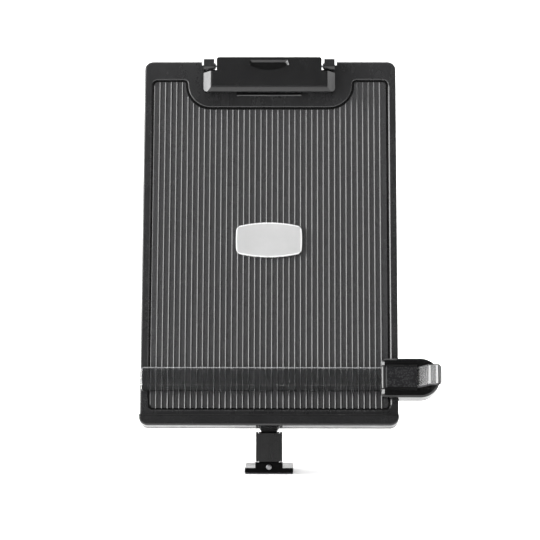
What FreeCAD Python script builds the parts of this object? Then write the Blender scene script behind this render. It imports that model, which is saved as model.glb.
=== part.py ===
import FreeCAD, Part
import os
from math import sin, cos, radians, pi, sqrt
from FreeCAD import Vector, Placement, Rotation

# Copy holder with line guide.  Millimetres, +Z up, the reader sits at -Y.
# Origin: centre of the foot's underside.

os.makedirs("parts", exist_ok=True)

# ---------------------------------------------------------------- dimensions
# board
BOARD_W = 235.0
BOARD_H = 347.5
BOARD_R = 8.0
PANEL_T = 5.0            # front panel, edge thickness
BOARD_T = 9.0            # whole board
WALL = 2.2
LEAN = 14.5              # board leans back from the vertical, degrees
RECESS_HW = 110.4        # half width of the ribbed recess
RECESS_V0 = 15.6
RECESS_V1 = 329.7
RECESS_D = 1.0
RIB_PITCH = 5.26
RIB_N = 20               # ribs each side of the middle
RIB_TOP = -0.40
PLAT_HW = 76.5           # clip platform
PLAT_V = 303.0
PLAT_R = 21.5
GROOVE = 1.8             # groove along the recess wall
# paper ledge
LEDGE_H = 10.4
LEDGE_D = 11.0
# clip
CLIP_DX = -0.8           # the clip sits a little left of the middle
CLIP_HW = 61.4
CLIP_V0 = 316.1
CLIP_V1 = 337.5
CLIP_TOP = 10.0
CLIP_ROLL = 7.5
PLATE_HW = 49.0
PLATE_V1 = 348.6
AX_V, AX_W = 341.5, 4.2  # clip hinge axis
LUG_U0, LUG_U1 = 51.4, 61.2
# slider and guide
SL_V = 44.05             # lever's middle
SB_V = 44.15             # slider body's middle
SL_H = 17.9              # half height
SL_U0 = 102.0
SL_UC = 137.2            # centre of the D end
SL_TOP = 9.0
COVER_TOP = 14.0
RULER_V0, RULER_V1 = 32.8, 55.0
RULER_W0, RULER_W1 = 1.6, 3.4
PIV_U, PIV_W = 127.0, 5.6
LEVER_HV = 9.3
# link and foot
LINK_HW = 12.0
LINK_T = 2.2
LINK_D = 12.6
FOOT_W = 43.9
FOOT_D = 56.0
FOOT_Z = 5.5
PAD_Z = 1.2
FOOT_FRONT = -27.0
LINK_FRONT = -23.6
FP_Y, FP_Z = -19.6, 7.6      # lower hinge axis
TP_Y, TP_Z = -16.3, 33.0     # upper hinge axis
HV, HW = -6.1, -15.5         # the upper hinge axis in board coordinates

S, C = sin(radians(LEAN)), cos(radians(LEAN))
O_Y = TP_Y - (HV * S - HW * C)
O_Z = TP_Z - (HV * C + HW * S)
BOARD_PL = Placement(Vector(0, O_Y, O_Z), Rotation(Vector(1, 0, 0), 90.0 - LEAN))

# ---------------------------------------------------------------- helpers


def box(x0, x1, y0, y1, z0, z1):
    return Part.makeBox(x1 - x0, y1 - y0, z1 - z0, Vector(x0, y0, z0))


def cyl(r, p0, p1):
    a, b = Vector(*p0), Vector(*p1)
    return Part.makeCylinder(r, (b - a).Length, a, b - a)


def cone(r0, r1, p0, p1):
    a, b = Vector(*p0), Vector(*p1)
    return Part.makeCone(r0, r1, (b - a).Length, a, b - a)


def rr(x0, x1, y0, y1, z0, z1, r=0.0, corners=None):
    """Upright prism with rounded corners; corners = (x0y0, x1y0, x1y1, x0y1)."""
    rs = corners if corners else (r, r, r, r)
    pts = [(x0, y0), (x1, y0), (x1, y1), (x0, y1)]
    out = []
    segs = []
    k = 1.0 - sqrt(0.5)
    for i in range(4):
        px, py = pts[i]
        qx, qy = pts[(i + 1) % 4]
        nx, ny = pts[(i - 1) % 4]
        d1 = (Vector(qx - px, qy - py, 0)).normalize()
        d0 = (Vector(nx - px, ny - py, 0)).normalize()
        P = Vector(px, py, z0)
        R = rs[i]
        if R > 0:
            a = P + d0 * R
            b = P + d1 * R
            m = P + (d0 + d1) * (R * k)
            out.append((a, m, b))
        else:
            out.append((P, None, P))
    for i in range(4):
        a, m, b = out[i]
        if m is not None:
            segs.append(Part.Arc(a, m, b).toShape())
        n = out[(i + 1) % 4][0]
        if (n - b).Length > 1e-6:
            segs.append(Part.makeLine(b, n))
    w = Part.Wire(segs)
    return Part.Face(w).extrude(Vector(0, 0, z1 - z0))


def poly(pts, vec):
    """Prism of a closed polygon of 3-D points."""
    p = [Vector(*q) for q in pts]
    p.append(p[0])
    return Part.Face(Part.makePolygon(p)).extrude(Vector(*vec))


def fil(shape, r, pick, chamfer=False):
    es = [e for e in shape.Edges if pick(e)]
    if not es:
        raise RuntimeError("no edges picked")
    s = shape.makeChamfer(r, es) if chamfer else shape.makeFillet(r, es)
    if not s.isValid() or s.Volume <= 0:
        raise RuntimeError("bad fillet r=%g" % r)
    return s


def bb(e):
    return e.BoundBox


def at_z(e, z, t=1e-4):
    b = bb(e)
    return abs(b.ZMin - z) < t and abs(b.ZMax - z) < t


def vertical(e, t=1e-4):
    b = bb(e)
    return b.XLength < t and b.YLength < t


def one(shape):
    s = shape.removeSplitter()
    if len(s.Solids) == 1:
        return s.Solids[0]
    return s


def spring(cx, cy, cz, r, wire, n, length, axis):
    """Close coil of n turns, its axis along axis from the given centre point."""
    h = Part.makeHelix(length / n, length, r)
    prof = Part.Wire(Part.makeCircle(wire, Vector(r, 0, 0), Vector(0, 1, 0)))
    s = Part.Wire(h).makePipeShell([prof], True, True)
    s.Placement = Placement(Vector(cx, cy, cz), Rotation(Vector(0, 0, 1), Vector(*axis)))
    return s


NODES = {}


def put(name, shape, board=False):
    s = shape.copy()
    if board:
        s.Placement = BOARD_PL.multiply(s.Placement)
    if not s.isValid():
        print("INVALID", name)
    NODES[name] = s
    s.exportStep("parts/%s.step" % name)
    b = s.BoundBox
    print("%-18s solids %d  vol %9.1f  x %.1f..%.1f y %.1f..%.1f z %.1f..%.1f" % (
        name, len(s.Solids), s.Volume, b.XMin, b.XMax, b.YMin, b.YMax, b.ZMin, b.ZMax))


HB = BOARD_W / 2.0

# ================================================================ board body
# In board coordinates: X to the right, Y up the board, Z towards the reader,
# Z = 0 is the border's front face.

# ---- front panel: a shallow tray with ribs, clip platform and hinge lugs
panel = rr(-HB, HB, 0, BOARD_H, -PANEL_T, 0, BOARD_R)
panel = fil(panel, 1.8, lambda e: at_z(e, 0))
panel = panel.cut(rr(-HB + WALL, HB - WALL, WALL, BOARD_H - WALL, -PANEL_T - 1, -3.3, BOARD_R - WALL))


def recess(inset, z0, z1, rc=4.5):
    v0, v1 = RECESS_V0 + inset, RECESS_V1 - inset
    a = rr(-RECESS_HW + inset, RECESS_HW - inset, v0, v1, z0, z1, 5.5 - inset)
    p = rr(-PLAT_HW - inset, PLAT_HW + inset, PLAT_V - inset, v1 + 40, z0 - 1, z1 + 1,
           corners=(PLAT_R + inset, PLAT_R + inset, 0, 0))
    a = a.cut(p)
    a = fil(a, rc, lambda e: vertical(e) and abs(abs(bb(e).XMin) - PLAT_HW - inset) < 0.01
            and abs(bb(e).YMin - v1) < 0.01)
    return a


panel = panel.cut(recess(0.0, -RECESS_D, 1.0))
panel = panel.cut(recess(0.0, -RECESS_D - 0.55, -RECESS_D + 0.1).cut(recess(GROOVE, -3, 1, 2.3)))
RB = (-RECESS_HW - 0.5, RECESS_HW + 0.5, RECESS_V0 - 0.5, RECESS_V1 + 0.5)


def loop(e, z):
    b = bb(e)
    return at_z(e, z) and b.XMin > RB[0] and b.XMax < RB[1] and b.YMin > RB[2] and b.YMax < RB[3]


panel = fil(panel, 0.6, lambda e: loop(e, 0), True)
panel = fil(panel, 0.5, lambda e: loop(e, -RECESS_D), True)

# the two upright runs that face left are sloped
panel = panel.cut(poly([(RECESS_HW - 0.2, 21.0, -RECESS_D), (RECESS_HW + 1.0, 21.0, 0.01), (RECESS_HW - 0.2, 21.0, 0.01)],
                       (0, 303.0, 0)))
panel = panel.cut(poly([(-RECESS_HW + GROOVE - 0.2, 21.0, -RECESS_D - 0.55), (-RECESS_HW + GROOVE + 0.75, 21.0, -RECESS_D + 0.01),
                        (-RECESS_HW + GROOVE - 0.2, 21.0, -RECESS_D + 0.01)], (0, 303.0, 0)))

# ribs: low ridges with a rounded crest, clear of the recess wall
rib_list = []
for k in range(RIB_N):
    for sgn in (-1, 1):
        u = sgn * (RIB_PITCH / 2 + RIB_PITCH * k)
        z0 = -RECESS_D - 0.2
        RH, RC, RS = 0.86, 0.22, RIB_TOP - 0.08      # half widths at the foot and crest
        pts = [Vector(u - RH, 0, z0), Vector(u - RH, 0, -RECESS_D), Vector(u - RC, 0, RS)]
        arc = Part.Arc(Vector(u - RC, 0, RS), Vector(u, 0, RIB_TOP), Vector(u + RC, 0, RS))
        e = [Part.makeLine(pts[0], pts[1]), Part.makeLine(pts[1], pts[2]), arc.toShape(),
             Part.makeLine(Vector(u + RC, 0, RS), Vector(u + RH, 0, -RECESS_D)),
             Part.makeLine(Vector(u + RH, 0, -RECESS_D), Vector(u + RH, 0, z0)),
             Part.makeLine(Vector(u + RH, 0, z0), pts[0])]
        v0, v1 = RECESS_V0 + GROOVE + 0.1, RECESS_V1 - GROOVE - 0.8
        au = abs(u)
        if au < PLAT_HW + GROOVE:
            # stop short of the platform, following its rounded corner
            d = au - (PLAT_HW - PLAT_R)
            if d <= 0:
                v1 = PLAT_V - GROOVE - 1.0
            else:
                R = PLAT_R + GROOVE + 0.8
                v1 = PLAT_V + PLAT_R - sqrt(max(R * R - d * d, 0.0))
        f = Part.Face(Part.Wire(e))
        f.translate(Vector(0, v0, 0))
        rib_list.append(f.extrude(Vector(0, v1 - v0, 0)))
panel = panel.fuse(rib_list)

# notch between the lugs, and a small relief outside each lug
def mv(shape):
    c = shape.copy()
    c.translate(Vector(CLIP_DX, 0, 0))
    return c


panel = panel.cut(mv(rr(-LUG_U0 + 0.1, LUG_U0 - 0.1, 339.1, 360, -20, 20, corners=(1.5, 1.5, 0, 0))))
for sgn in (-1, 1):
    a, b = sorted((sgn * LUG_U1, sgn * 63.2))
    panel = panel.cut(mv(box(a, b, 343.8, 360, -20, 20)))

# hinge lugs: round at the lower end, square at the top
for sgn in (-1, 1):
    a, b = sorted((sgn * LUG_U0, sgn * LUG_U1))
    RL = 4.3
    p = [Vector(a, AX_V - RL, -2.0), Vector(a, AX_V - RL, AX_W), Vector(a, AX_V, AX_W + RL),
         Vector(a, 347.4, AX_W + RL), Vector(a, 347.4, -PANEL_T), Vector(a, 343.0, -PANEL_T), Vector(a, 343.0, -2.0)]
    k = RL * sqrt(0.5)
    e = [Part.makeLine(p[0], p[1]),
         Part.Arc(p[1], Vector(a, AX_V - k, AX_W + k), p[2]).toShape(),
         Part.makeLine(p[2], p[3]), Part.makeLine(p[3], p[4]), Part.makeLine(p[4], p[5]),
         Part.makeLine(p[5], p[6]), Part.makeLine(p[6], p[0])]
    lug = Part.Face(Part.Wire(e)).extrude(Vector(b - a, 0, 0))
    lug = fil(lug, 0.7, lambda e: abs(bb(e).YMin - 347.4) < 1e-3 and abs(bb(e).ZMin - (AX_W + RL)) < 1e-3)
    inner = sgn * LUG_U0
    boss = cyl(2.7, (inner - sgn * 1.5, AX_V, AX_W), (inner + sgn * 1.0, AX_V, AX_W))
    panel = panel.fuse([mv(lug), mv(boss)])
    panel = panel.cut(mv(cyl(1.3, (inner - sgn * 4.0, AX_V, AX_W), (sgn * 60.0, AX_V, AX_W))))

# screw bosses on the back of the panel
SCREW_UV = [(s * 98.0, v) for s in (-1, 1) for v in (21.0, 122.0, 224.0, 322.0)]
LEDGE_UV = [(u, 5.6) for u in (-96.0, -34.0, 34.0, 96.0)]
for u, v in SCREW_UV:
    panel = panel.fuse(cyl(3.3, (u, v, -6.9), (u, v, -3.2)))
for u, v in SCREW_UV:
    panel = panel.cut(cyl(1.1, (u, v, -7.5), (u, v, -3.5)))
for u, v in LEDGE_UV:
    panel = panel.cut(cyl(1.5, (u, v, -6), (u, v, 1)))
put("front_panel", one(panel), True)

# ---- rear cover: back shell
g = 0.1
rear = rr(-HB + g, HB - g, g, BOARD_H - g, -BOARD_T, -PANEL_T - 0.1, BOARD_R - g)
rear = fil(rear, 0.7, lambda e: at_z(e, -BOARD_T))
rear = rear.cut(rr(-HB + WALL + g, HB - WALL - g, WALL + g, BOARD_H - WALL - g, -BOARD_T + 2.0, 0, BOARD_R - WALL - g))
rear = rear.cut(mv(rr(-LUG_U0 - 0.1, LUG_U0 + 0.1, 339.1, 360, -20, 20, corners=(1.5, 1.5, 0, 0))))
rear = rear.cut(mv(rr(-LUG_U1 - 2.1, LUG_U1 + 2.1, 342.8, 360, -20, 20)))
# shallow panels pressed into the outside
for u0, u1, v0, v1 in ((-88.0, 88.0, 108.0, 312.0), (-88.0, -40.0, 34.0, 98.0), (40.0, 88.0, 34.0, 98.0)):
    rear = rear.cut(rr(u0, u1, v0, v1, -BOARD_T - 1, -BOARD_T + 0.5, 6.0))
BR_UV = [(s * 24.0, v) for s in (-1, 1) for v in (20.0, 82.0)]
for u, v in BR_UV:
    rear = rear.fuse(cyl(3.6, (u, v, -BOARD_T + 1.5), (u, v, -3.6)))
for u, v in SCREW_UV:
    rear = rear.cut(cyl(1.6, (u, v, -12), (u, v, -5)))
    rear = rear.cut(cyl(3.1, (u, v, -12), (u, v, -7.8)))
for u, v in BR_UV:
    rear = rear.cut(cyl(1.3, (u, v, -12), (u, v, -4.2)))
put("rear_cover", one(rear), True)


def screw(u, v, z_head, z_seat, z_tip, r_head, r_shank, slot=True):
    """Pan-head screw along the board's normal, head at z_head, seat at z_seat."""
    h = cyl(r_head, (u, v, z_head), (u, v, z_seat))
    h = fil(h, 0.35 * abs(z_seat - z_head), lambda e: at_z(e, z_head))
    s = h.fuse(cyl(r_shank, (u, v, z_seat), (u, v, z_tip)))
    if slot:
        d = 0.55 if z_seat > z_head else -0.55
        a, b = sorted((z_head, z_head + d))
        s = s.cut(box(u - r_head * 0.55, u + r_head * 0.55, v - 0.35, v + 0.35, a - 0.1, b))
        s = s.cut(box(u - 0.35, u + 0.35, v - r_head * 0.55, v + r_head * 0.55, a - 0.1, b))
    return s


put("panel_screws", Part.makeCompound([screw(u, v, -8.95, -7.8, -4.3, 2.8, 1.05) for u, v in SCREW_UV]), True)

# ---- paper ledge: hollow strip screwed to the lower border
ledge = rr(-HB, HB, 0, LEDGE_H, 0, LEDGE_D, corners=(BOARD_R, BOARD_R, 0.8, 0.8))
ledge = fil(ledge, 1.8, lambda e: at_z(e, LEDGE_D) and bb(e).YMin < LEDGE_H - 1.0)
ledge = ledge.cut(rr(-HB + 2.0, HB - 2.0, 2.0, LEDGE_H - 2.0, -1, LEDGE_D - 2.0, corners=(5.0, 5.0, 0.5, 0.5)))
for u, v in LEDGE_UV:
    ledge = ledge.fuse(cyl(3.6, (u, v - 0.4, 0), (u, v - 0.4, LEDGE_D - 1.5)))
for u, v in LEDGE_UV:
    ledge = ledge.cut(cyl(1.15, (u, v, -1), (u, v, 7.6)))
put("paper_ledge", one(ledge), True)
put("ledge_screws", Part.makeCompound([screw(u, v, -4.9, -3.3, 6.8, 2.6, 1.1) for u, v in LEDGE_UV]), True)

# ---- bare badge plate, barrel shaped
BC = 174.85
BZ = RIB_TOP + 0.02
bc = [Vector(x - 0.5, BC + y, BZ) for x, y in ((-29.9, 12.6), (29.9, 12.6), (29.9, -12.6), (-29.9, -12.6))]
bm = [Vector(x - 0.5, BC + y, BZ) for x, y in ((0, 16.45), (30.5, 0), (0, -16.45), (-30.5, 0))]
badge = Part.Face(Part.Wire([Part.Arc(bc[i], bm[i], bc[(i + 1) % 4]).toShape() for i in range(4)]))
badge = badge.extrude(Vector(0, 0, 1.2))
badge = fil(badge, 5.5, vertical)
badge = fil(badge, 0.4, lambda e: at_z(e, BZ + 1.2))
put("badge_plate", badge, True)

# ---- clip pin and its two torsion springs
put("clip_hinge_pin", mv(cyl(1.22, (-59.6, AX_V, AX_W), (59.6, AX_V, AX_W))), True)
sp = []
for sgn in (-1, 1):
    u0 = 34.0 if sgn > 0 else -40.0
    coil = spring(u0, AX_V, AX_W, 2.0, 0.4, 6, 6.0, (1, 0, 0))
    sp.append(coil)
put("clip_springs", mv(Part.makeCompound(sp)), True)

# ================================================================ clip body
RI = CLIP_ROLL
SB, LB_ = 7.4, 3.6         # bevels along the clip's sides and lower edge


def bevelled(d, r, zb, zt, sb, lb):
    """Block with a rounded plan, inset by d, sloped at both sides and along the lower edge."""
    a, v0, v1 = CLIP_HW - d, CLIP_V0 + d, CLIP_V1 - d
    q = 0.45
    plan = rr(-a, a, v0, v1, zb, zt, corners=(r, r, 0, 0))
    across = poly([(-a, v0 - 1, zb), (a, v0 - 1, zb), (a, v0 - 1, zt - sb), (a - sb + q, v0 - 1, zt - q),
                   (a - sb - 2 * q, v0 - 1, zt), (-a + sb + 2 * q, v0 - 1, zt), (-a + sb - q, v0 - 1, zt - q),
                   (-a, v0 - 1, zt - sb)], (0, v1 - v0 + 2, 0))
    along = poly([(-a - 1, v0, zb), (-a - 1, v1, zb), (-a - 1, v1, zt), (-a - 1, v0 + lb + 2 * q, zt),
                  (-a - 1, v0 + lb - q, zt - q), (-a - 1, v0, zt - lb)], (2 * a + 2, 0, 0))
    return plan.common(across).common(along)


main = bevelled(0.0, 4.5, 0.6, CLIP_TOP, SB, LB_)
outer = main.copy()
plate = rr(-PLATE_HW, PLATE_HW, CLIP_V1 - 8.0, PLATE_V1, 7.9, CLIP_TOP, corners=(0, 0, 2.2, 2.2))
inner = bevelled(1.8, 3.0, -3.0, 7.9, SB - 0.9, LB_ - 0.9)
cover = main.fuse(plate)
cover = cover.cut(inner)
cover = cover.cut(box(-PLATE_HW + 2.2, PLATE_HW - 2.2, CLIP_V1 - 3.0, 360, -3, 7.9))
for sgn in (-1, 1):
    a, b = sorted((sgn * (PLATE_HW - 2.2), sgn * PLATE_HW))
    ear = cyl(3.2, (a, AX_V, AX_W), (b, AX_V, AX_W))
    ear = ear.fuse(box(a, b, CLIP_V1 - 2.2, AX_V, 1.0, 8.2))
    ear = ear.fuse(box(a, b, AX_V - 3.2, AX_V + 3.2, AX_W, 8.2))
    cover = cover.fuse(ear)
    a, b = sorted((sgn * (PLATE_HW + 0.01), sgn * 70.0))
    cover = cover.cut(cyl(4.85, (a, AX_V, AX_W), (b, AX_V, AX_W)))
    cover = cover.cut(box(a, b, AX_V - 4.85, 360, -3, AX_W))
    cover = cover.cut(box(a, b, 335.3, 360, -3, 12))
    cover = cover.cut(cyl(1.3, (sgn * 44.0, AX_V, AX_W), (sgn * 50.0, AX_V, AX_W)))
# thumb scoop: straight upper wall sloped towards the floor, curved lower wall
cover = cover.fuse(rr(-22.0, 21.5, 334.6, 346.8, 6.5, 8.0, 2.0))


def scoop(z, x0, x1, v0, vt, vs):
    P = lambda x, v: Vector(x, v, z)
    return Part.Wire([Part.makeLine(P(x0 + 1.5, vt), P(x1 - 1.5, vt)), Part.makeLine(P(x1 - 1.5, vt), P(x1, vs)),
                      Part.Arc(P(x1, vs), P((x0 + x1) / 2, v0), P(x0, vs)).toShape(),
                      Part.makeLine(P(x0, vs), P(x0 + 1.5, vt))])


cover = cover.cut(Part.makeLoft([scoop(CLIP_TOP - 1.6, -17.4, 16.8, 336.1, 343.9, 341.2),
                                 scoop(CLIP_TOP + 0.2, -19.3, 18.7, 335.9, 346.0, 341.1)], True, True))
# posts for the jaw strip, and the strip's slot in the lower wall
for u in (-20.0, 20.0):
    cover = cover.fuse(cyl(2.6, (u, 321.0, 1.8), (u, 321.0, 8.2)).common(outer))
cover = cover.cut(box(-30.7, 30.7, 311.0, 318.6, -3, 1.8))
for u in (-20.0, 20.0):
    cover = cover.fuse(cyl(1.15, (u, 321.0, 1.0), (u, 321.0, 2.2)))
put("clip_cover", mv(one(cover)), True)

strip = rr(-30.4, 30.4, 313.2, 324.6, 0.98, 1.78, 0.6)
for u in (-20.0, 20.0):
    strip = strip.cut(cyl(1.2, (u, 321.0, 0), (u, 321.0, 3)))
put("jaw_strip", mv(strip), True)
put("jaw_pad", mv(rr(-29.5, 29.5, 313.9, 317.2, 0.3, 0.97, 0.5)), True)

# ================================================================ slider body
V0, V1 = SB_V - SL_H, SB_V + SL_H


def dee(u0, inset, z0, z1, rl=4.0):
    """D-ended plan outline: straight left end at u0, round right end."""
    h = SL_H - inset
    a, b = SB_V - h, SB_V + h
    P = lambda x, y: Vector(x, y, z0)
    e = []
    if rl > 0:
        k = rl * (1 - sqrt(0.5))
        e.append(Part.Arc(P(u0, a + rl), P(u0 + k, a + k), P(u0 + rl, a)).toShape())
    e.append(Part.makeLine(P(u0 + rl, a), P(SL_UC, a)))
    e.append(Part.Arc(P(SL_UC, a), P(SL_UC + h, SB_V), P(SL_UC, b)).toShape())
    e.append(Part.makeLine(P(SL_UC, b), P(u0 + rl, b)))
    if rl > 0:
        e.append(Part.Arc(P(u0 + rl, b), P(u0 + k, b - k), P(u0, b - rl)).toShape())
        e.append(Part.makeLine(P(u0, b - rl), P(u0, a + rl)))
    else:
        e.append(Part.makeLine(P(u0, b), P(u0, a)))
    return Part.Face(Part.Wire(e)).extrude(Vector(0, 0, z1 - z0))


SEAM = -4.5
EDGE = HB + 0.5          # inner face of the slider beside the board's edge
base = dee(SL_U0, 0.0, SEAM, SL_TOP)
base = fil(base, 1.7, lambda e: at_z(e, SL_TOP), True)
base = base.cut(poly([(SL_U0 - 0.1, V0 + 3.2, SL_TOP - 2.4), (SL_U0 + 2.7, V0 + 3.2, SL_TOP + 0.02), (SL_U0 - 0.1, V0 + 3.2, SL_TOP + 0.02)],
                     (0, 2 * SL_H - 6.4, 0)))
base = base.cut(box(SL_U0 - 5, EDGE, V0 - 5, V1 + 5, SEAM - 1, 0.5))
base = base.cut(dee(EDGE + 1.8, 1.8, SEAM - 1, SL_TOP - 1.8, 0.0))
base = base.cut(rr(SL_U0 + 2.6, EDGE + 2.0, V0 + 1.8, V1 - 1.8, 0.9, SL_TOP - 1.8, corners=(2.2, 0, 0, 2.2)))
base = base.cut(rr(SL_U0 + 2.6, EDGE, V0 + 1.8, V1 - 1.8, -1, SL_TOP - 1.8, corners=(2.2, 0, 0, 2.2)))
# mouth for the ruler, and the opening for the lever
base = base.cut(box(SL_U0 - 3, SL_U0 + 3, RULER_V0 - 0.6, RULER_V1 + 0.6, -1, 6.9))
base = base.cut(rr(106.0, 147.4, SL_V - 10.0, SL_V + 10.0, 5.0, 12.0, corners=(0.5, 2.0, 2.0, 0.5)))
# pivot supports and screw bosses
for s_ in (-1, 1):
    a, b = sorted((SL_V + s_ * 10.2, SL_V + s_ * 14.0))
    base = base.fuse(box(PIV_U - 3.5, PIV_U + 3.5, a, b, SEAM, SL_TOP - 1.0))
    base = base.fuse(cyl(2.5, (137.0, SL_V + s_ * 12.6, SEAM), (137.0, SL_V + s_ * 12.6, SL_TOP - 1.0)))
base = base.fuse(cyl(2.4, (121.9, SL_V, SEAM), (121.9, SL_V, 0.9)))
base = base.common(dee(SL_U0, 0.0, SEAM, SL_TOP))
SS_UV = [(137.0, SL_V - 12.6), (137.0, SL_V + 12.6), (121.9, SL_V)]
for u, v in SS_UV:
    base = base.cut(cyl(1.05, (u, v, SEAM - 1), (u, v, 0.2)))
base = base.cut(cyl(1.25, (PIV_U, SL_V - 13.4, PIV_W), (PIV_U, SL_V + 13.4, PIV_W)))
put("slider_base", one(base), True)

LIP0, LIP1 = -11.4, -9.4
rearh = dee(106.0, 0.0, LIP0, SEAM - 0.1)
rearh = fil(rearh, 0.8, lambda e: at_z(e, LIP0))
rearh = rearh.cut(box(100, EDGE, V0 - 5, V1 + 5, LIP1, 0))
rearh = rearh.cut(dee(EDGE + 1.8, 1.8, LIP1, 0, 0.0))
for u, v in SS_UV:
    rearh = rearh.fuse(cyl(2.3, (u, v, LIP0 + 0.5), (u, v, SEAM - 0.1)))
for u, v in SS_UV:
    rearh = rearh.cut(cyl(1.1, (u, v, -12), (u, v, 0)))
    rearh = rearh.cut(cyl(2.15, (u, v, -12), (u, v, -9.9)))
put("slider_rear", one(rearh), True)
put("slider_screws", Part.makeCompound([screw(u, v, -11.2, -9.9, -0.2, 1.95, 0.98) for u, v in SS_UV]), True)
put("slider_pad", rr(107.6, 116.4, SL_V - 10.0, SL_V + 10.0, LIP1, -BOARD_T - 0.06, 1.5), True)

# raised cover with sloped sides, open to the right where the lever comes out
cb = [(105.0, 32.1), (134.2, 32.1), (134.2, 56.0), (105.0, 56.0)]
ct = [(106.2, 33.6), (134.0, 33.6), (134.0, 54.5), (106.2, 54.5)]
w0 = Part.makePolygon([Vector(x, y, SL_TOP) for x, y in cb] + [Vector(cb[0][0], cb[0][1], SL_TOP)])
w1 = Part.makePolygon([Vector(x, y, COVER_TOP) for x, y in ct] + [Vector(ct[0][0], ct[0][1], COVER_TOP)])
cov = Part.makeLoft([w0, w1], True, True)
cov = fil(cov, 0.8, lambda e: (at_z(e, COVER_TOP) and bb(e).XMin < 133.0) or (bb(e).ZLength > 4 and bb(e).XMax < 112))
cov = cov.cut(box(106.5, 140, 34.0, 54.1, SL_TOP - 1, COVER_TOP - 1.6))
# textured field, set 0.3 mm into the top
cov = cov.cut(rr(107.3, 133.1, 34.7, 53.4, COVER_TOP - 0.3, COVER_TOP + 1, 0.8))
cov = cov.cut(box(122.3, 126.8, 54.6, 57.0, COVER_TOP - 2.6, COVER_TOP + 1))
put("slider_cover", one(cov), True)

put("guide_pivot_pin", cyl(1.2, (PIV_U, SL_V - 13.2, PIV_W), (PIV_U, SL_V + 13.2, PIV_W)), True)
put("guide_spring", spring(131.2, SL_V, -9.0, 2.2, 0.28, 7, 11.55, (0, 0, 1)), True)

# ================================================================ guide body
rul = rr(-116.5, 121.0, RULER_V0, RULER_V1, RULER_W0, RULER_W1, corners=(2.0, 0, 0, 2.0))
rul = fil(rul, 1.1, lambda e: at_z(e, RULER_W1) and abs(bb(e).YMin - RULER_V1) < 1e-3 and bb(e).XLength > 50, True)
rul = rul.fuse(box(120.0, 123.4, SL_V - LEVER_HV, SL_V + LEVER_HV, RULER_W0, RULER_W1))
rul = rul.cut(poly([(-115.0, 38.0, RULER_W1 + 0.01), (-115.0, 38.6, RULER_W1 + 0.01), (-115.0, 38.3, RULER_W1 - 0.35)],
                   (217.0, 0, 0)))
GS_UV = [(112.5, SL_V - 5.0), (112.5, SL_V + 5.0)]
for u, v in GS_UV:
    rul = rul.cut(cyl(1.0, (u, v, 0), (u, v, 5)))
put("guide_ruler", one(rul), True)

top = [(106.5, 7.0), (130.7, 7.0), (144.0, 24.9), (154.8, 27.06)]
bot = [(155.4, 23.86), (145.85, 22.0), (132.0, RULER_W1), (106.5, RULER_W1)]
pts = [(u, SL_V - LEVER_HV, z) for u, z in top + bot]
lever = poly(pts, (0, 2 * LEVER_HV, 0))
# rounded thumb end, tapered ramp
lever = fil(lever, 3.0, lambda e: abs(bb(e).XLength - 0.6) < 0.05 and bb(e).YLength < 1e-3 and bb(e).XMin > 154)
lever = lever.cut(cyl(1.28, (PIV_U, SL_V - 15, PIV_W), (PIV_U, SL_V + 15, PIV_W)))
lever = lever.cut(poly([(152.4, 20, 26.60), (153.4, 20, 26.80), (153.1, 20, 25.8), (152.8, 20, 25.8)], (0, 50, 0)))
for u, v in GS_UV:
    lever = lever.cut(cyl(0.95, (u, v, 3), (u, v, 6.2)))
put("lift_tab", one(lever), True)
put("guide_screws", Part.makeCompound([screw(u, v, 0.8, RULER_W0, 5.9, 1.8, 0.9) for u, v in GS_UV]), True)

# ---- bracket behind the board with the knuckle of the upper hinge
br = rr(-32.0, 32.0, 11.0, 92.0, -12.0, -BOARD_T, 8.0)
br = fil(br, 1.0, lambda e: at_z(e, -12.0))
spine = poly([(-9.3, 84.0, -18.0), (-9.3, 2.2, -18.0), (-7.0, -1.6, -18.0), (7.0, -1.6, -18.0), (9.3, 2.2, -18.0),
              (9.3, 84.0, -18.0)], (0, 0, 18.0 - BOARD_T - 0.3))
spine = spine.cut(poly([(-20, 24.0, -18.1), (-20, 90.0, -18.1), (-20, 90.0, -12.4)], (40, 0, 0)))
neck = box(-7.0, 7.0, -7.0, 4.0, -19.0, -12.0)
kn = cyl(5.0, (-7.0, HV, HW), (7.0, HV, HW))
br = br.fuse([spine, neck, kn])
br = br.cut(cyl(2.06, (-20, HV, HW), (20, HV, HW)))
# the neck may not stand out in front of the knuckle
br = br.cut(box(-8, 8, -12, -1.6, -12.0 + 0.0, -8.0).cut(cyl(5.0, (-9, HV, HW), (9, HV, HW))))
for u, v in BR_UV:
    br = br.cut(cyl(1.7, (u, v, -20), (u, v, 0)))
put("back_bracket", one(br), True)
put("bracket_screws", Part.makeCompound([screw(u, v, -13.9, -12.0, -4.6, 2.9, 1.25) for u, v in BR_UV]), True)

# ================================================================ link body (world coordinates)
LB = LINK_FRONT + LINK_D


def cheek(x0, x1):
    r = 4.5
    zt = TP_Z + 4.6
    k = r * (1 - sqrt(0.5))
    P = lambda y, z: Vector(x0, y, z)
    z0 = FP_Z + 3.5
    e = [Part.makeLine(P(LINK_FRONT, z0), P(LINK_FRONT, zt - r)),
         Part.Arc(P(LINK_FRONT, zt - r), P(LINK_FRONT + k, zt - k), P(LINK_FRONT + r, zt)).toShape(),
         Part.makeLine(P(LINK_FRONT + r, zt), P(LB - r, zt)),
         Part.Arc(P(LB - r, zt), P(LB - k, zt - k), P(LB, zt - r)).toShape(),
         Part.makeLine(P(LB, zt - r), P(LB, z0 + 4.5)),
         Part.makeLine(P(LB, z0 + 4.5), P(LB - 4.5, z0)),
         Part.makeLine(P(LB - 4.5, z0), P(LINK_FRONT, z0))]
    return Part.Face(Part.Wire(e)).extrude(Vector(x1 - x0, 0, 0))


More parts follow.
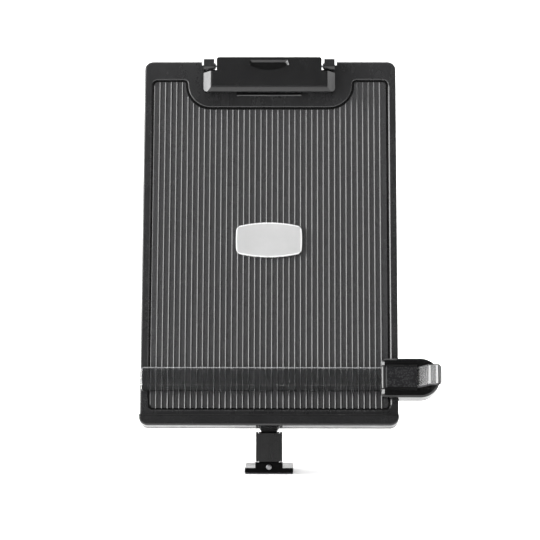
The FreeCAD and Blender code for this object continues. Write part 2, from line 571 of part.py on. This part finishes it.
link = cheek(-LINK_HW, -LINK_HW + LINK_T).fuse(cheek(LINK_HW - LINK_T, LINK_HW))
front = box(-LINK_HW, LINK_HW, LINK_FRONT, LINK_FRONT + 2.0, FP_Z + 3.5, TP_Z + 3.8)
link = link.fuse(front)
link = fil(one(link), 1.3, lambda e: vertical(e) and abs(bb(e).YMin - LINK_FRONT) < 1e-3 and bb(e).ZLength > 15)
low = box(-9.2, 9.2, LINK_FRONT, LINK_FRONT + 7.8, FP_Z, FP_Z + 5.0)
barrel = cyl(3.9, (-9.2, FP_Y, FP_Z), (9.2, FP_Y, FP_Z))
low = low.cut(box(-10, 10, FP_Y + 4.1, 0, 0, 40))
link = link.fuse([low, barrel])
link = link.fuse(box(-9.6, 9.6, LINK_FRONT + 1.0, FP_Y + 2.0, FP_Z + 3.5, FP_Z + 6.5))
link = link.cut(cyl(1.56, (-20, FP_Y, FP_Z), (20, FP_Y, FP_Z)))
link = link.cut(cyl(2.02, (-20, TP_Y, TP_Z), (20, TP_Y, TP_Z)))
# the low part in front of the pin is trimmed to the barrel
link = link.cut(box(-10, 10, LINK_FRONT - 1, LINK_FRONT + 4.0, 0, FP_Z).cut(cyl(3.9, (-11, FP_Y, FP_Z), (11, FP_Y, FP_Z))))
put("link_channel", one(link))
put("tilt_pin", fil(cyl(2.0, (-11.65, TP_Y, TP_Z), (11.65, TP_Y, TP_Z)), 0.3, lambda e: abs(abs(bb(e).XMin) - 11.65) < 1e-3 and bb(e).XLength < 1e-3))
ws = []
for s_ in (-1, 1):
    a, b = sorted((s_ * 7.1, s_ * 9.4))
    ws.append(cyl(4.6, (a, TP_Y, TP_Z), (b, TP_Y, TP_Z)).cut(cyl(2.06, (a - 1, TP_Y, TP_Z), (b + 1, TP_Y, TP_Z))))
put("tilt_washers", Part.makeCompound(ws))

# ================================================================ foot body
HF = FOOT_W / 2
FB = FOOT_FRONT + FOOT_D
plate_ = rr(-HF, HF, FOOT_FRONT, FB, PAD_Z, FOOT_Z, corners=(1.2, 1.2, 3.0, 3.0))
plate_ = fil(plate_, 0.7, lambda e: at_z(e, FOOT_Z))
wall = box(-12.4, 12.4, FOOT_FRONT, FOOT_FRONT + 3.0, PAD_Z + 1, 10.6)
wall = fil(wall, 0.9, lambda e: at_z(e, 10.6) and bb(e).YMax < FOOT_FRONT + 0.01)
foot = plate_.fuse(wall)
for s_ in (-1, 1):
    a, b = sorted((s_ * 9.6, s_ * 12.4))
    ear = box(a, b, FOOT_FRONT + 1.0, FP_Y + 3.0, PAD_Z + 1, FP_Z)
    ear = ear.fuse(cyl(3.0, (a, FP_Y, FP_Z), (b, FP_Y, FP_Z)))
    ear = ear.fuse(box(a, b, FOOT_FRONT + 1.0, FP_Y, PAD_Z + 1, 10.6))
    foot = foot.fuse(ear)
# the two fine upright grooves that part the ears from the front wall
for s_ in (-1, 1):
    foot = foot.cut(box(s_ * 9.6 - 0.25, s_ * 9.6 + 0.25, FOOT_FRONT - 1, FOOT_FRONT + 0.7, FOOT_Z, 12))
foot = foot.cut(box(-9.55, 9.55, FOOT_FRONT + 3.0, FP_Y + 4.6, 3.2, 12))
foot = foot.cut(cyl(1.52, (-20, FP_Y, FP_Z), (20, FP_Y, FP_Z)))
SCZ = 6.4
foot = foot.cut(cyl(1.3, (0, FOOT_FRONT - 1, SCZ), (0, FOOT_FRONT + 4, SCZ)))
foot = foot.cut(cyl(3.1, (0, FOOT_FRONT - 1, SCZ), (0, FOOT_FRONT + 0.6, SCZ)))
put("foot_base", one(foot))
put("foot_pin", cyl(1.5, (-12.3, FP_Y, FP_Z), (12.3, FP_Y, FP_Z)))
head = cyl(2.6, (0, FOOT_FRONT - 1.3, SCZ), (0, FOOT_FRONT + 0.6, SCZ))
head = fil(head, 1.2, lambda e: bb(e).YLength < 1e-3 and bb(e).YMin < FOOT_FRONT)
head = head.fuse(cyl(1.22, (0, FOOT_FRONT + 0.6, SCZ), (0, FOOT_FRONT + 3.05, SCZ)))
put("tension_screw", one(head))
put("adhesive_pad", rr(-HF + 0.4, HF - 0.4, FOOT_FRONT + 0.4, FB - 0.4, 0, PAD_Z, 2.0))

tot = sum(s.Volume for s in NODES.values())
print("nodes", len(NODES), "volume cm3 %.1f" % (tot / 1000))
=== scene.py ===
import math
import bpy
import bmesh
from mathutils import Matrix, Vector

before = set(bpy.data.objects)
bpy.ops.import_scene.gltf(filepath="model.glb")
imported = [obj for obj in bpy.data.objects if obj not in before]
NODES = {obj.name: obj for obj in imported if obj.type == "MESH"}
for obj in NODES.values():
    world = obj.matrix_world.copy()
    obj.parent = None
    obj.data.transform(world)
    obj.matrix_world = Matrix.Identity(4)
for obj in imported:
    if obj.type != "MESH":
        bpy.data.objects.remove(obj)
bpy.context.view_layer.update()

# ------------------------------------------------------------------ geometry
# board coordinates: u to the right, v up the board, w towards the reader (mm)
LEAN = math.radians(14.5)
S, C = math.sin(LEAN), math.cos(LEAN)
O_Y = -16.3 - (-6.1 * S + 15.5 * C)
O_Z = 33.0 - (-6.1 * C - 15.5 * S)


def board(u, v, w):
    return Vector((u, O_Y + v * S - w * C, O_Z + v * C + w * S)) / 1000.0


BOARD_M = Matrix((
    (1.0, 0.0, 0.0, 0.0),
    (0.0, S, -C, O_Y / 1000.0),
    (0.0, C, S, O_Z / 1000.0),
    (0.0, 0.0, 0.0, 1.0)))

# ------------------------------------------------------------------ camera
F_PX = 2500.0
POS = Vector((26.36, -2289.71, 224.67)) / 1000.0
YAW, PITCH, ROLL = (math.radians(a) for a in (0.6457, -1.0013, 0.0251))
f = Vector((-math.sin(YAW) * math.cos(PITCH), math.cos(YAW) * math.cos(PITCH), math.sin(PITCH)))
r = Vector((math.cos(YAW), math.sin(YAW), 0.0))
up = r.cross(f)
r2 = math.cos(ROLL) * r + math.sin(ROLL) * up
u2 = -math.sin(ROLL) * r + math.cos(ROLL) * up
cam_data = bpy.data.cameras.new("camera")
cam_data.sensor_width = 36.0
cam_data.sensor_fit = "HORIZONTAL"
cam_data.lens = F_PX * 36.0 / 540.0
cam_data.clip_start = 0.05
cam_data.clip_end = 50.0
cam = bpy.data.objects.new("camera", cam_data)
bpy.context.scene.collection.objects.link(cam)
m = Matrix((
    (r2.x, u2.x, -f.x, POS.x),
    (r2.y, u2.y, -f.y, POS.y),
    (r2.z, u2.z, -f.z, POS.z),
    (0, 0, 0, 1)))
cam.matrix_world = m
bpy.context.scene.camera = cam


# ------------------------------------------------------------------ materials
class Mat:
    """Small helper around a node tree; coordinates are the object's own, in metres."""

    def __init__(self, name):
        self.m = bpy.data.materials.new(name)
        self.m.use_nodes = True
        self.t = self.m.node_tree
        self.t.nodes.clear()
        self.out = self.n("ShaderNodeOutputMaterial")
        self.b = self.n("ShaderNodeBsdfPrincipled")
        self.t.links.new(self.b.outputs[0], self.out.inputs[0])
        self.co = self.n("ShaderNodeTexCoord").outputs["Object"]

    def n(self, kind, **kw):
        node = self.t.nodes.new(kind)
        for k, v in kw.items():
            setattr(node, k, v)
        return node

    def link(self, a, b):
        self.t.links.new(a, b)

    def noise(self, scale, detail=2.0, rough=0.5, co=None, distortion=0.0):
        t = self.n("ShaderNodeTexNoise")
        t.inputs["Scale"].default_value = scale
        t.inputs["Detail"].default_value = detail
        t.inputs["Roughness"].default_value = rough
        t.inputs["Distortion"].default_value = distortion
        self.link(co or self.co, t.inputs["Vector"])
        return t.outputs["Fac"]

    def scaled(self, x, y, z):
        k = self.n("ShaderNodeMapping")
        k.inputs["Scale"].default_value = (x, y, z)
        self.link(self.co, k.inputs["Vector"])
        return k.outputs[0]

    def ramp(self, fac, stops):
        k = self.n("ShaderNodeValToRGB")
        e = k.color_ramp.elements
        while len(e) < len(stops):
            e.new(0.5)
        for el, (p, c) in zip(e, stops):
            el.position = p
            el.color = (c, c, c, 1.0) if not isinstance(c, tuple) else (*c, 1.0)
        self.link(fac, k.inputs[0])
        return k.outputs[0]

    def span(self, fac, a0, a1, b0, b1):
        k = self.n("ShaderNodeMapRange")
        for i, v in zip((1, 2, 3, 4), (a0, a1, b0, b1)):
            k.inputs[i].default_value = v
        self.link(fac, k.inputs[0])
        return k.outputs[0]

    def math(self, op, a, b):
        k = self.n("ShaderNodeMath", operation=op)
        for i, v in enumerate((a, b)):
            if isinstance(v, (int, float)):
                k.inputs[i].default_value = v
            else:
                self.link(v, k.inputs[i])
        return k.outputs[0]

    def uvw(self):
        """Board coordinates of the shaded point, in millimetres."""
        sep = self.n("ShaderNodeSeparateXYZ")
        self.link(self.co, sep.inputs[0])
        out = [self.math("MULTIPLY", sep.outputs[0], 1000.0)]
        for a, b in ((S, C), (-C, S)):
            d = self.n("ShaderNodeVectorMath", operation="DOT_PRODUCT")
            self.link(self.co, d.inputs[0])
            d.inputs[1].default_value = (0.0, a, b)
            k = self.math("MULTIPLY", d.outputs["Value"], 1000.0)
            out.append(self.math("SUBTRACT", k, O_Y * a + O_Z * b))
        return out

    def absd(self, a, centre):
        return self.math("ABSOLUTE", self.math("SUBTRACT", a, centre), 0.0)

    def bump(self, height, dist, strength=1.0, normal=None):
        k = self.n("ShaderNodeBump")
        k.inputs["Strength"].default_value = strength
        k.inputs["Distance"].default_value = dist
        self.link(height, k.inputs["Height"])
        if normal is not None:
            self.link(normal, k.inputs["Normal"])
        return k.outputs[0]

    def set(self, **kw):
        for k, v in kw.items():
            self.b.inputs[k.replace("_", " ")].default_value = v
        return self

    def to(self, socket, value):
        self.link(value, self.b.inputs[socket])
        return self


def plastic(name, base, rough, grain=900.0, grain_mm=0.012, wave_mm=0.05, tint=(1.0, 1.0, 1.03), smudge=0.08, spec=0.5):
    """Moulded black plastic: fine grain, a slight waviness, handling marks in the gloss."""
    p = Mat(name)
    p.set(Metallic=0.0, IOR=1.49)
    p.b.inputs["Specular IOR Level"].default_value = spec
    big = p.noise(22.0, 3.0, 0.55)
    fine = p.noise(grain, 3.0, 0.6)
    speck = p.noise(grain * 3.1, 1.0, 0.5)
    lo = tuple(base * 0.78 * t for t in tint)
    hi = tuple(base * 1.25 * t for t in tint)
    mix = p.math("ADD", p.math("MULTIPLY", big, 0.55), p.math("MULTIPLY", fine, 0.45))
    p.to("Base Color", p.ramp(mix, [(0.36, lo), (0.64, hi)]))
    marks = p.noise(60.0, 5.0, 0.65, p.scaled(1.0, 1.0, 0.35), 0.4)
    p.to("Roughness", p.math("ADD", p.span(marks, 0.35, 0.7, rough - smudge * 0.5, rough + smudge),
                             p.math("MULTIPLY", p.math("SUBTRACT", fine, 0.5), 0.10)))
    wave = p.bump(p.noise(14.0, 1.0, 0.4), wave_mm / 1000.0)
    h = p.math("ADD", fine, p.math("MULTIPLY", speck, 0.35))
    p.to("Normal", p.bump(h, grain_mm / 1000.0, 1.0, wave))
    return p


def metal(name, color, rough, stretch=(1.0, 1.0, 1.0), scale=900.0, mm=0.006):
    p = Mat(name)
    p.set(Metallic=1.0, Base_Color=(*color, 1.0))
    lines = p.noise(scale, 3.0, 0.6, p.scaled(*stretch))
    stain = p.noise(90.0, 3.0, 0.6)
    p.to("Base Color", p.ramp(stain, [(0.35, tuple(c * 0.8 for c in color)), (0.65, tuple(min(1, c * 1.1) for c in color))]))
    p.to("Roughness", p.span(lines, 0.3, 0.7, max(0.04, rough - 0.07), rough + 0.10))
    p.to("Normal", p.bump(lines, mm / 1000.0))
    return p


def clear(name, tint, rough, alpha_ior=1.49, scratch=0.0000004):
    """Clear acrylic with faint scratches."""
    p = Mat(name)
    p.set(Base_Color=(*tint, 1.0), IOR=alpha_ior, Metallic=0.0)
    p.b.inputs["Transmission Weight"].default_value = 1.0
    fine = p.noise(700.0, 4.0, 0.7, p.scaled(1.0, 0.25, 1.0), 0.6)
    haze = p.noise(35.0, 3.0, 0.5)
    p.to("Roughness", p.math("ADD", p.span(haze, 0.3, 0.75, rough, rough + 0.02),
                             p.span(fine, 0.62, 0.8, 0.0, 0.04)))
    p.to("Normal", p.bump(fine, scratch))
    return p


def assign(node, p, slot=None):
    o = NODES[node]
    o.data.materials.clear()
    o.data.materials.append(p.m)


panel = plastic("panel_black", 0.019, 0.25, grain=1300.0, grain_mm=0.006, wave_mm=0.02)
# the field between the ribs has a finer, paler texture; the groove around it is painted near-black as shade
pu, pv, pw = panel.uvw()
field = panel.math("MULTIPLY", panel.span(pw, -1.04, -1.01, 0.0, 1.0), panel.span(pw, -0.97, -0.92, 1.0, 0.0))
inside = panel.math("MULTIPLY", panel.span(panel.absd(pu, 0.0), 109.6, 109.9, 1.0, 0.0),
                    panel.math("MULTIPLY", panel.span(pv, 16.4, 16.7, 0.0, 1.0), panel.span(pv, 328.9, 329.2, 1.0, 0.0)))
field = panel.math("MULTIPLY", field, inside)
# painted shade: the groove below the ribbed field is coloured near-black
groove_shade = panel.math("MULTIPLY", panel.span(pw, -1.12, -1.06, 1.0, 0.0), inside)
tex = panel.noise(2100.0, 2.0, 0.6)
pm = panel.n("ShaderNodeMix", data_type="RGBA")
panel.link(field, pm.inputs[0])
panel.link(panel.b.inputs["Base Color"].links[0].from_socket, pm.inputs[6])
panel.link(panel.ramp(tex, [(0.35, (0.030, 0.030, 0.031)), (0.65, (0.046, 0.046, 0.047))]), pm.inputs[7])
pd = panel.n("ShaderNodeMix", data_type="RGBA")
panel.link(groove_shade, pd.inputs[0])
panel.link(pm.outputs[2], pd.inputs[6])
pd.inputs[7].default_value = (0.002, 0.002, 0.002, 1.0)
panel.to("Base Color", pd.outputs[2])
assign("front_panel", panel)
rear = plastic("rear_black", 0.012, 0.30, grain=1900.0, grain_mm=0.012, spec=0.5)
assign("rear_cover", rear)
ledge = plastic("ledge_black", 0.013, 0.19, grain=1500.0, grain_mm=0.004, wave_mm=0.02)
lu, lv, lw = ledge.uvw()
# the rounded upper edge is painted dark as shade, and its gloss is turned down
edge_shade = ledge.span(lv, 8.5, 8.9, 0.0, 1.0)
lm = ledge.n("ShaderNodeMix", data_type="RGBA")
ledge.link(edge_shade, lm.inputs[0])
ledge.link(ledge.b.inputs["Base Color"].links[0].from_socket, lm.inputs[6])
lm.inputs[7].default_value = (0.009, 0.009, 0.009, 1.0)
ledge.to("Base Color", lm.outputs[2])
ledge.to("Specular IOR Level", ledge.span(edge_shade, 0.0, 1.0, 0.5, 0.04))
assign("paper_ledge", ledge)
clipm = plastic("clip_black", 0.011, 0.20, grain=1700.0, grain_mm=0.004, wave_mm=0.008)
# the floor of the thumb scoop is painted darker as shade and is duller than the face
cu, cv, cw = clipm.uvw()
scoop_shade = clipm.math("MULTIPLY", clipm.span(cw, 9.75, 9.9, 1.0, 0.0), clipm.span(clipm.absd(cu, -1.2), 17.8, 18.1, 1.0, 0.0))
scoop_shade = clipm.math("MULTIPLY", scoop_shade, clipm.math("MULTIPLY", clipm.span(cv, 335.5, 335.7, 0.0, 1.0),
                                                 clipm.span(cv, 343.6, 343.9, 1.0, 0.0)))
cx = clipm.n("ShaderNodeMix", data_type="RGBA")
clipm.link(scoop_shade, cx.inputs[0])
clipm.link(clipm.b.inputs["Base Color"].links[0].from_socket, cx.inputs[6])
cx.inputs[7].default_value = (0.006, 0.006, 0.006, 1.0)
clipm.to("Base Color", cx.outputs[2])
clipm.to("Specular IOR Level", clipm.span(scoop_shade, 0.0, 1.0, 0.5, 0.25))
assign("clip_cover", clipm)
slid = plastic("slider_black", 0.003, 0.16, grain=1600.0, grain_mm=0.003, wave_mm=0.006, spec=0.5)
# painted shade: the gloss is turned off in a narrow strip along the sloped left end of the slider and in short lines
# where that strip ends, standing for a groove's shade
gu, gv, gw = slid.uvw()
low = slid.span(gu, 104.7, 104.9, 1.0, 0.0)
mid = slid.absd(gv, 44.7)
groove_gloss_shade = slid.math("MULTIPLY", slid.span(gu, 103.2, 103.5, 0.0, 1.0), slid.span(mid, 9.9, 10.2, 1.0, 0.0))
break_gloss_shade = slid.span(slid.math("ABSOLUTE", slid.math("SUBTRACT", mid, 10.5), 0.0), 0.5, 0.9, 1.0, 0.0)
painted_gloss_shade = slid.math("MULTIPLY", low, slid.math("MAXIMUM", groove_gloss_shade, break_gloss_shade))
slid.to("Specular IOR Level", slid.span(painted_gloss_shade, 0.0, 1.0, 0.5, 0.03))
for n_ in ("slider_base", "slider_rear"):
    assign(n_, slid)

# grained top of the slider
gp = Mat("grip_black")
gp.set(Metallic=0.0, IOR=1.49)
v1 = gp.n("ShaderNodeTexVoronoi", feature="SMOOTH_F1")
v1.inputs["Scale"].default_value = 620.0
v1.inputs["Smoothness"].default_value = 0.5
gp.link(gp.co, v1.inputs["Vector"])
cell = v1.outputs["Distance"]
g2 = gp.noise(2600.0, 2.0, 0.6)
hh = gp.math("ADD", cell, gp.math("MULTIPLY", g2, 0.4))
gp.to("Base Color", gp.ramp(cell, [(0.08, (0.040, 0.040, 0.041)), (0.55, (0.004, 0.004, 0.005))]))
# the rims above and below the grained field are smooth, painted dark as shade, with the gloss turned down
qu, qv, qw = gp.uvw()
rims = gp.span(gp.absd(qv, 44.05), 9.4, 9.6, 0.0, 1.0)
gx = gp.n("ShaderNodeMix", data_type="RGBA")
gp.link(rims, gx.inputs[0])
gp.link(gp.b.inputs["Base Color"].links[0].from_socket, gx.inputs[6])
gx.inputs[7].default_value = (0.004, 0.004, 0.004, 1.0)
gp.to("Base Color", gx.outputs[2])
gp.to("Specular IOR Level", gp.span(rims, 0.0, 1.0, 0.35, 0.08))
gp.to("Roughness", gp.span(g2, 0.3, 0.7, 0.36, 0.52))
gp.to("Normal", gp.bump(hh, 0.00010, 0.9))
assign("slider_cover", gp)

assign("link_channel", plastic("link_black", 0.004, 0.22, grain=1500.0, grain_mm=0.005, wave_mm=0.02, spec=0.25))
assign("back_bracket", plastic("bracket_black", 0.008, 0.42, grain=1500.0, grain_mm=0.03, spec=0.35))
assign("foot_base", plastic("foot_black", 0.003, 0.20, grain=1500.0, grain_mm=0.004, wave_mm=0.01, spec=0.02))

strip = metal("strip_steel", (0.86, 0.86, 0.87), 0.22, (0.05, 1.0, 1.0))
# only the lip shows bare metal; the flat behind it, under the clip, is painted near-black as shade
su, sv, sw = strip.uvw()
under_clip_shade = strip.span(sv, 313.95, 314.15, 0.0, 1.0)
sm = strip.n("ShaderNodeMix", data_type="RGBA")
strip.link(under_clip_shade, sm.inputs[0])
strip.link(strip.b.inputs["Base Color"].links[0].from_socket, sm.inputs[6])
sm.inputs[7].default_value = (0.03, 0.03, 0.031, 1.0)
strip.to("Base Color", sm.outputs[2])
assign("jaw_strip", strip)
bright = metal("screw_steel", (0.78, 0.78, 0.79), 0.16)
assign("guide_screws", bright)
assign("tension_screw", metal("bolt_steel", (0.25, 0.25, 0.255), 0.30))
pin = metal("pin_steel", (0.6, 0.6, 0.61), 0.24, (0.08, 1.0, 1.0))
for n_ in ("clip_hinge_pin", "guide_pivot_pin", "tilt_pin", "foot_pin"):
    assign(n_, pin)
spring = metal("spring_steel", (0.42, 0.42, 0.43), 0.3)
for n_ in ("clip_springs", "guide_spring"):
    assign(n_, spring)
ox = metal("black_screws", (0.09, 0.09, 0.095), 0.38)
for n_ in ("panel_screws", "ledge_screws", "bracket_screws", "slider_screws"):
    assign(n_, ox)

rub = plastic("jaw_rubber", 0.02, 0.75, grain=2500.0, grain_mm=0.02, spec=0.3)
assign("jaw_pad", rub)

ft = Mat("felt")
ft.set(Metallic=0.0, IOR=1.45)
ft.b.inputs["Sheen Weight"].default_value = 0.5
ft.b.inputs["Sheen Roughness"].default_value = 0.5
fz = ft.noise(2200.0, 6.0, 0.8, None, 1.5)
ft.to("Base Color", ft.ramp(fz, [(0.3, (0.05, 0.05, 0.052)), (0.7, (0.16, 0.16, 0.165))]))
ft.b.inputs["Roughness"].default_value = 0.95
ft.to("Normal", ft.bump(fz, 0.00012))
assign("slider_pad", ft)

fo = Mat("foam")
fo.set(Metallic=0.0, IOR=1.45)
fv = fo.n("ShaderNodeTexVoronoi", feature="F1")
fv.inputs["Scale"].default_value = 2400.0
fo.link(fo.co, fv.inputs["Vector"])
fo.to("Base Color", fo.ramp(fv.outputs["Distance"], [(0.0, (0.05, 0.05, 0.052)), (0.6, (0.10, 0.10, 0.105))]))
fo.b.inputs["Roughness"].default_value = 0.92
fo.to("Normal", fo.bump(fv.outputs["Distance"], 0.0001))
assign("adhesive_pad", fo)

ny = Mat("nylon")
ny.set(Metallic=0.0, IOR=1.53)
nz = ny.noise(1200.0, 3.0, 0.6)
ny.to("Base Color", ny.ramp(nz, [(0.3, (0.020, 0.020, 0.020)), (0.7, (0.030, 0.030, 0.030))]))
ny.b.inputs["Roughness"].default_value = 0.42
ny.b.inputs["Subsurface Weight"].default_value = 0.15
ny.b.inputs["Subsurface Scale"].default_value = 0.001
ny.to("Normal", ny.bump(nz, 0.00001))
assign("tilt_washers", ny)

bd = Mat("badge_silver")
bd.set(Metallic=0.0, IOR=1.5)
bz = bd.noise(2600.0, 3.0, 0.7)
bs = bd.noise(40.0, 4.0, 0.6)
# raised rim that follows the barrel outline: bumped up, and painted lighter as its highlight
bu, bv, bw = bd.uvw()
du, dv = bd.absd(bu, -0.5), bd.absd(bv, 174.85)
ku = bd.math("SUBTRACT", 30.5, bd.math("MULTIPLY", bd.math("MULTIPLY", dv, dv), 0.6 / 158.8))
kv = bd.math("SUBTRACT", 16.45, bd.math("MULTIPLY", bd.math("MULTIPLY", du, du), 3.85 / 894.0))
rim_ = bd.math("MINIMUM", bd.math("SUBTRACT", ku, du), bd.math("SUBTRACT", kv, dv))
rim_and_highlight = bd.span(rim_, 1.0, 1.35, 1.0, 0.0)
face_ = bd.ramp(bd.math("ADD", bd.math("MULTIPLY", bz, 0.4), bd.math("MULTIPLY", bs, 0.6)),
                [(0.35, (0.40, 0.40, 0.40)), (0.65, (0.46, 0.46, 0.46))])
mx = bd.n("ShaderNodeMix", data_type="RGBA")
bd.link(rim_and_highlight, mx.inputs[0])
bd.link(face_, mx.inputs[6])
mx.inputs[7].default_value = (0.70, 0.70, 0.70, 1.0)
bd.to("Base Color", mx.outputs[2])
bd.to("Roughness", bd.span(bs, 0.3, 0.7, 0.30, 0.42))
bd.to("Normal", bd.bump(rim_and_highlight, 0.00012, 1.0, bd.bump(bz, 0.000006)))
assign("badge_plate", bd)

# line guide: the upper edge is made less clear as a painted highlight, a fine line is cut along the lower part, and the
# bottom edge is painted darker as shade
rul = clear("ruler_clear", (0.54, 0.545, 0.55), 0.0, scratch=0.00000004)
ru, rv, rw = rul.uvw()
# painted highlight on the upper edge; painted shade on the bottom edge
top_edge_highlight = rul.span(rv, 53.7, 54.0, 0.0, 1.0)
line_ = rul.span(rul.absd(rv, 38.3), 0.35, 0.5, 1.0, 0.0)
bottom_edge_shade = rul.span(rv, 33.0, 33.5, 1.0, 0.0)
rul.to("Transmission Weight", rul.math("SUBTRACT", 0.985, rul.math("MAXIMUM", rul.math("MULTIPLY", top_edge_highlight, 0.20),
                                                                 rul.math("MULTIPLY", line_, 0.07))))
cm = rul.n("ShaderNodeMix", data_type="RGBA")
rul.link(bottom_edge_shade, cm.inputs[0])
cm.inputs[6].default_value = (0.54, 0.545, 0.55, 1.0)
cm.inputs[7].default_value = (0.30, 0.30, 0.305, 1.0)
rul.to("Base Color", cm.outputs[2])
assign("guide_ruler", rul)

# thumb tab: thick clear plastic; its thin edges are painted dark as shade
tab = clear("tab_clear", (0.93, 0.94, 0.95), 0.03, scratch=0.00000004)
tu, tv, tw = tab.uvw()
side_edge_shade = tab.span(tab.absd(tv, 44.05), 8.2, 8.5, 0.0, 1.0)
pad_ = tab.span(tu, 143.5, 144.2, 0.0, 1.0)
painted_band_stops = [(140.0, 0.93), (142.1, 0.93), (142.3, 0.03), (142.9, 0.03), (143.1, 0.93), (144.0, 0.93), (144.2, 0.50),
         (145.3, 0.50), (145.5, 0.93), (150.4, 0.93), (150.6, 0.50), (152.15, 0.50), (152.3, 0.02), (153.5, 0.02),
         (153.6, 0.36), (154.05, 0.36), (154.15, 0.02), (156.0, 0.02)]
# along the length, painted: a dark line and a highlight at the bend, a further highlight, a dark line and a dark rim at
# the end, all standing for light and shade in the clear plastic
along = tab.ramp(tab.span(tu, 140.0, 156.0, 0.0, 1.0), [((q - 140.0) / 16.0, c) for q, c in painted_band_stops])
open_ = tab.span(along, 0.55, 0.88, 0.04, 1.0)
tm = tab.n("ShaderNodeMix", data_type="RGBA")
tab.link(tab.math("MULTIPLY", side_edge_shade, 0.97), tm.inputs[0])
tab.link(along, tm.inputs[6])
tm.inputs[7].default_value = (0.03, 0.03, 0.031, 1.0)
tab.to("Base Color", tm.outputs[2])
open_ = tab.math("MULTIPLY", open_, tab.span(side_edge_shade, 0.0, 1.0, 1.0, 0.15))
tab.to("Transmission Weight", tab.math("MULTIPLY", tab.span(pad_, 0.0, 1.0, 0.94, 0.84), open_))
haze_ = tab.b.inputs["Roughness"].links[0].from_socket
tab.to("Roughness", tab.math("MAXIMUM", haze_, tab.span(open_, 0.2, 1.0, 0.6, 0.0)))
tab.to("Specular IOR Level", tab.span(open_, 0.2, 1.0, 0.06, 0.5))
assign("lift_tab", tab)

# ------------------------------------------------------------------ stage
me = bpy.data.meshes.new("stage_floor")
bm = bmesh.new()
prof = []
X = 9.0
prof += [(-9.0, 0.0), (1.2, 0.0)]
R_ = 1.2
for i in range(1, 25):
    a = math.pi / 2 * i / 24
    prof.append((1.2 + R_ * math.sin(a), R_ * (1 - math.cos(a))))
prof.append((1.2 + R_, 1.5))
prev = None
for y, z in prof:
    a, b = bm.verts.new((-X, y, z)), bm.verts.new((X, y, z))
    if prev:
        bm.faces.new((prev[0], prev[1], b, a))
    prev = (a, b)
bm.to_mesh(me)
bm.free()
for p_ in me.polygons:
    p_.use_smooth = True
floor = bpy.data.objects.new("stage_floor", me)
bpy.context.scene.collection.objects.link(floor)
fm = Mat("stage_white")
fm.set(Metallic=0.0)
fm.b.inputs["Roughness"].default_value = 0.7
fm.b.inputs["Specular IOR Level"].default_value = 0.2
fn = fm.noise(3.0, 2.0, 0.5)
fm.to("Base Color", fm.ramp(fn, [(0.3, (0.90, 0.90, 0.90)), (0.7, (0.92, 0.92, 0.92))]))
fsep = fm.n("ShaderNodeSeparateXYZ")
fm.link(fm.co, fsep.inputs[0])
fm.b.inputs["Emission Color"].default_value = (1.0, 1.0, 1.0, 1.0)
fm.to("Emission Strength", fm.span(fsep.outputs[1], 0.2, 1.4, 0.30, 0.75))
floor.data.materials.append(fm.m)

# ------------------------------------------------------------------ light
world = bpy.data.worlds.new("studio")
bpy.context.scene.world = world
world.use_nodes = True
wt = world.node_tree
bgn = wt.nodes["Background"]
bgn.inputs[0].default_value = (1.0, 1.0, 1.0, 1.0)
bgn.inputs[1].default_value = 0.15


def area(name, pos, target, sx, sy, power):
    d = bpy.data.lights.new(name, "AREA")
    d.shape = "RECTANGLE"
    d.size, d.size_y = sx, sy
    d.energy = power
    o = bpy.data.objects.new(name, d)
    bpy.context.scene.collection.objects.link(o)
    z = (Vector(pos) - Vector(target)).normalized()
    q = z.to_track_quat("Z", "Y")
    o.rotation_euler = q.to_euler()
    o.location = pos
    return o


area("left_box", (-1.78, -0.32, 0.85), (0.0, 0.0, 0.22), 1.5, 1.6, 88.0)
area("right_box", (1.95, 0.22, 0.7), (0.0, 0.0, 0.22), 0.9, 1.2, 9.0)
area("top_box", (0.0, -0.1, 2.3), (0.0, 0.1, 0.2), 2.2, 1.8, 60.0)

bpy.context.scene.view_settings.view_transform = "Standard"
bpy.context.scene.view_settings.look = "None"
